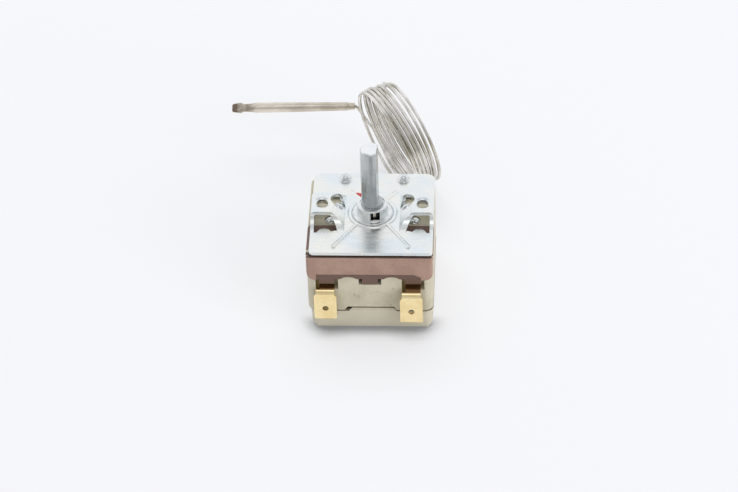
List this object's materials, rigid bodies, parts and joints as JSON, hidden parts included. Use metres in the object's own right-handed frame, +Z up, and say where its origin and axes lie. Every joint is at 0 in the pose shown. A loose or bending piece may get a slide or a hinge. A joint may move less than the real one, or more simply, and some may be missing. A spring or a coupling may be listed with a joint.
{
  "type": "adjustable capillary thermostat",
  "caption": "Adjustable capillary thermostat: ceramic switch housing under a square steel plate, with a flatted spindle, blade terminals, a coiled capillary and a sensing bulb.",
  "frame": {"origin": "on the spindle axis at the bottom face of the ceramic bottom cover", "axes": "+Z up along the spindle, the terminals face -Y, the capillary leaves at +Y, +X to the right seen from the terminals"},
  "size_m": [0.0627, 0.0839, 0.0507],
  "materials": {
    "zinc_plate": "bright zinc-plated sheet steel",
    "turned_steel": "turned steel, fine turning marks",
    "rivet_steel": "zinc-plated rivet steel",
    "steatite": "unglazed beige steatite with small dark specks",
    "phenolic": "matt reddish-brown phenolic",
    "brass": "plain stamped brass",
    "contact_silver": "silver alloy",
    "spring_bronze": "rolled bronze strip",
    "capsule_steel": "thin stainless sheet",
    "capillary_steel": "drawn tube, slightly warm grey",
    "bulb_steel": "drawn tube, dull warm grey with a darker end",
    "sleeve_dark": "dark insulating sleeve",
    "lacquer_red": "dab of red sealing lacquer"
  },
  "bodies": {
    "root": {"mounting_plate": "zinc_plate", "spindle_bushing": "turned_steel", "spring_washer": "rivet_steel", "upper_housing": "steatite", "bottom_cover": "steatite", "terminal_cover": "phenolic", "left_terminal": "brass", "right_terminal": "brass", "terminal_rivets": "rivet_steel", "plate_rivets": "rivet_steel", "cover_rivets": "rivet_steel", "fixed_contact": "contact_silver", "capillary_sleeve": "sleeve_dark", "seal_lacquer": "lacquer_red", "capillary_lead": "capillary_steel", "capillary_coil": "capillary_steel", "capillary_tail": "capillary_steel", "sensing_bulb": "bulb_steel"},
    "spindle": {"control_spindle": "turned_steel", "stop_pin": "turned_steel"},
    "diaphragm": {"diaphragm_upper": "capsule_steel", "diaphragm_lower": "capsule_steel", "diaphragm_stud": "turned_steel", "thrust_button": "turned_steel", "capillary_stub": "capillary_steel"},
    "contact_arm": {"contact_spring": "spring_bronze", "moving_contact": "contact_silver"},
    "push_pin": {"push_pin": "steatite"}
  },
  "joints": [
    {"name": "spindle_turn", "type": "hinge", "parent": "root", "child": "spindle", "pos_m": [0, 0, 0.0276], "axis": [0, 0, 1], "range_deg": [-270, 0]},
    {"name": "diaphragm_feed", "type": "slide", "parent": "root", "child": "diaphragm", "axis": [0, 0, 1], "range_m": [0, 0.0005625]},
    {"name": "contact_snap", "type": "hinge", "parent": "root", "child": "contact_arm", "pos_m": [0.0089, 0, 0.01245], "axis": [0, -1, 0], "range_deg": [0, 3], "stiffness_Nm_per_rad": 0.05, "springref_deg": -2.86},
    {"name": "push_pin_slide", "type": "slide", "parent": "root", "child": "push_pin", "axis": [0, 0, -1], "range_m": [0, 0.000466]}
  ],
  "couplings": [
    {"joint": "spindle_turn", "follows": "diaphragm_feed", "rad_per_m": -8377.5},
    {"joint": "contact_snap", "follows": "push_pin_slide", "rad_per_m": 112.3}
  ]
}
